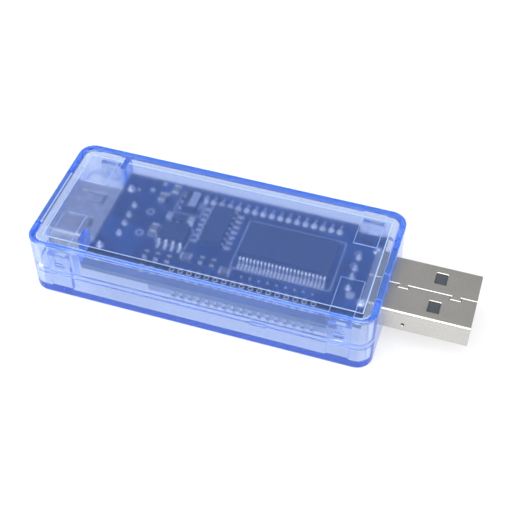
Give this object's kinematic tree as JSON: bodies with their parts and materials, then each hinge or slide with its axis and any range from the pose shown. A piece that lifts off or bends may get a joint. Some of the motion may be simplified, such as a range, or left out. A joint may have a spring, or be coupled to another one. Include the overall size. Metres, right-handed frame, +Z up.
{
  "type": "usb power meter",
  "caption": "In-line USB power meter: clear snap-together case around a circuit board with a display, a USB-A plug at one end and a USB-A socket at the other.",
  "frame": {"origin": "middle of the case's underside, which is the display side", "axes": "+X out of the plug end, +Y across the case, +Z up through the parts side of the board"},
  "size_m": [0.0743, 0.0254, 0.012],
  "materials": {
    "clear_blue_plastic": "clear blue polycarbonate, gloss outside, lightly frosted inside",
    "board_laminate": "dark solder mask on glass-fibre laminate",
    "plug_steel": "nickel-plated sheet steel, satin",
    "contact_metal": "gold-flashed phosphor bronze",
    "black_insulator": "black glass-filled moulding",
    "white_insulator": "white glass-filled moulding",
    "display_glass": "float glass",
    "polarizer_film": "grey-green polarizing film",
    "light_guide_acrylic": "milky acrylic",
    "white_film": "white reflector film",
    "tinned_metal": "bright tin plating",
    "chip_epoxy": "black moulding compound",
    "led_package": "white package with a phosphor window",
    "ceramic": "fired ceramic with tinned ends"
  },
  "bodies": {
    "meter": {"upper_shell": "clear_blue_plastic", "lower_shell": "clear_blue_plastic", "circuit_board": "board_laminate", "usb_plug_shell": "plug_steel", "usb_plug_insulator": "black_insulator", "usb_plug_contacts": "contact_metal", "usb_socket_shell": "plug_steel", "usb_socket_insulator": "white_insulator", "usb_socket_contact_tails": "contact_metal", "lcd_front_polarizer": "polarizer_film", "lcd_front_glass": "display_glass", "lcd_rear_glass": "display_glass", "lcd_rear_polarizer": "polarizer_film", "lcd_light_guide": "light_guide_acrylic", "lcd_reflector": "white_film", "lcd_pins_far": "tinned_metal", "lcd_pins_near": "tinned_metal", "backlight_leds": "led_package", "driver_chip_body": "chip_epoxy", "driver_chip_leads": "tinned_metal", "controller_chip_body": "chip_epoxy", "controller_chip_leads": "tinned_metal", "amplifier_chip_body": "chip_epoxy", "amplifier_chip_leads": "tinned_metal", "voltage_regulator": "chip_epoxy", "voltage_regulator_leads": "tinned_metal", "shunt_resistor": "chip_epoxy", "capacitors": "ceramic", "resistors": "chip_epoxy"},
    "contact_springs": {"usb_socket_contact_springs": "contact_metal"}
  },
  "joints": [
    {"name": "contact_spring_flex", "type": "hinge", "parent": "meter", "child": "contact_springs", "pos_m": [-0.02156, 0, 0.0048], "axis": [0, -1, 0], "range_deg": [0, 3], "stiffness_Nm_per_rad": 0.3}
  ]
}
